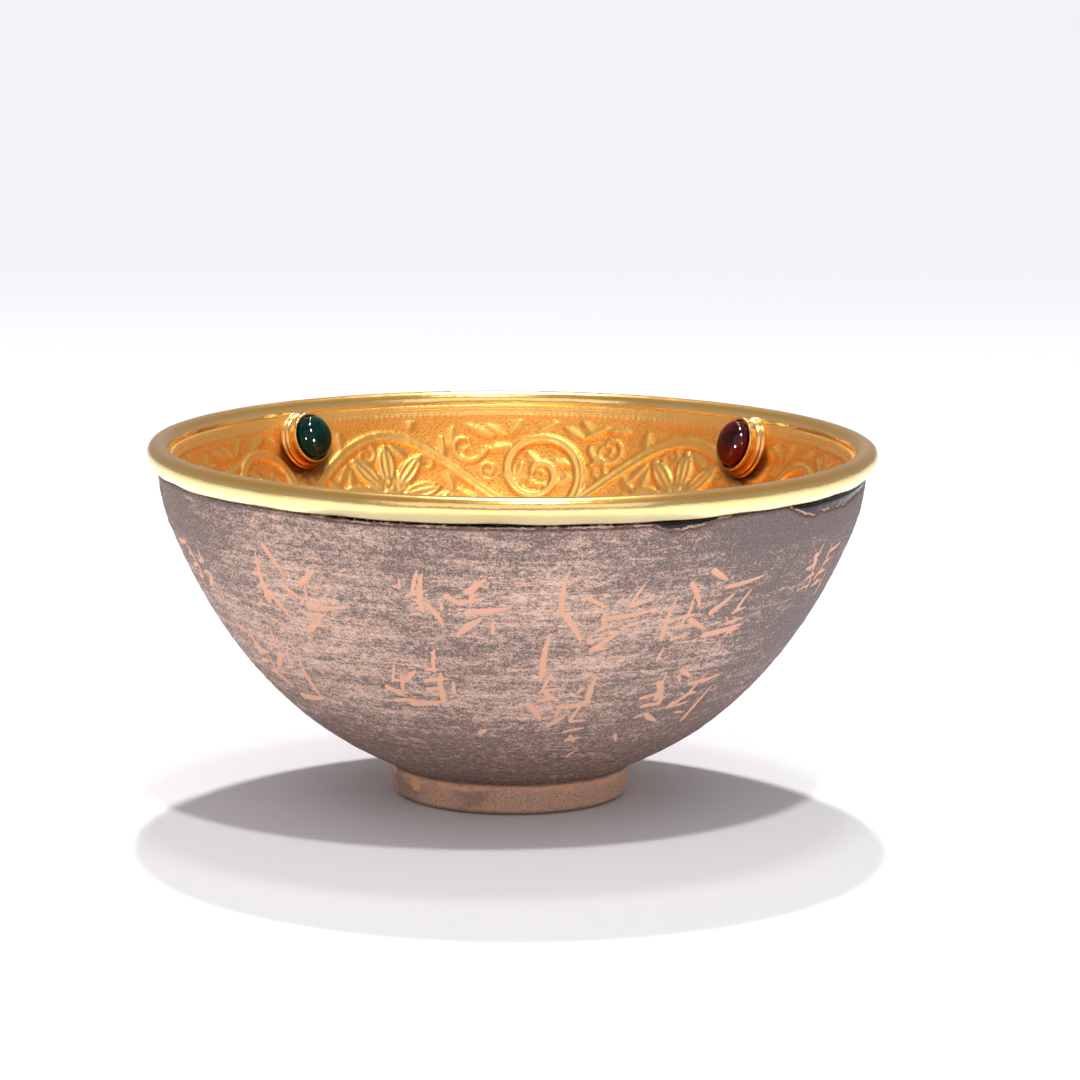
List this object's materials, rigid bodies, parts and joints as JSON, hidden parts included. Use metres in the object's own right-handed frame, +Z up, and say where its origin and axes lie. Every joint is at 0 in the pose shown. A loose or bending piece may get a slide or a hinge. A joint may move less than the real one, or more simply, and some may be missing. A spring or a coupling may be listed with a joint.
{
  "type": "jian ware tea bowl with gold lining",
  "caption": "Wide stoneware tea bowl on a small foot ring, lined with embossed gold sheet, bound with gold at the lip and set inside with red and green cabochons.",
  "frame": {"origin": "centre of the foot ring, on the surface that the bowl stands on", "axes": "+Z up along the axis of the bowl, -Y towards the front, +X to the right seen from the front"},
  "size_m": [0.1254, 0.1254, 0.0615],
  "materials": {
    "stoneware": "matte",
    "lining_gold": "satin",
    "band_gold": "gloss",
    "red_stone": "gloss",
    "green_stone": "gloss"
  },
  "bodies": {
    "root": {"stoneware_bowl": "stoneware", "gold_lining": "lining_gold", "rim_band": "band_gold", "bezel_back_right": "band_gold", "bezel_back_left": "band_gold", "bezel_front_left": "band_gold", "bezel_front_right": "band_gold", "stone_back_right": "red_stone", "stone_back_left": "green_stone", "stone_front_left": "red_stone", "stone_front_right": "green_stone"}
  },
  "joints": []
}
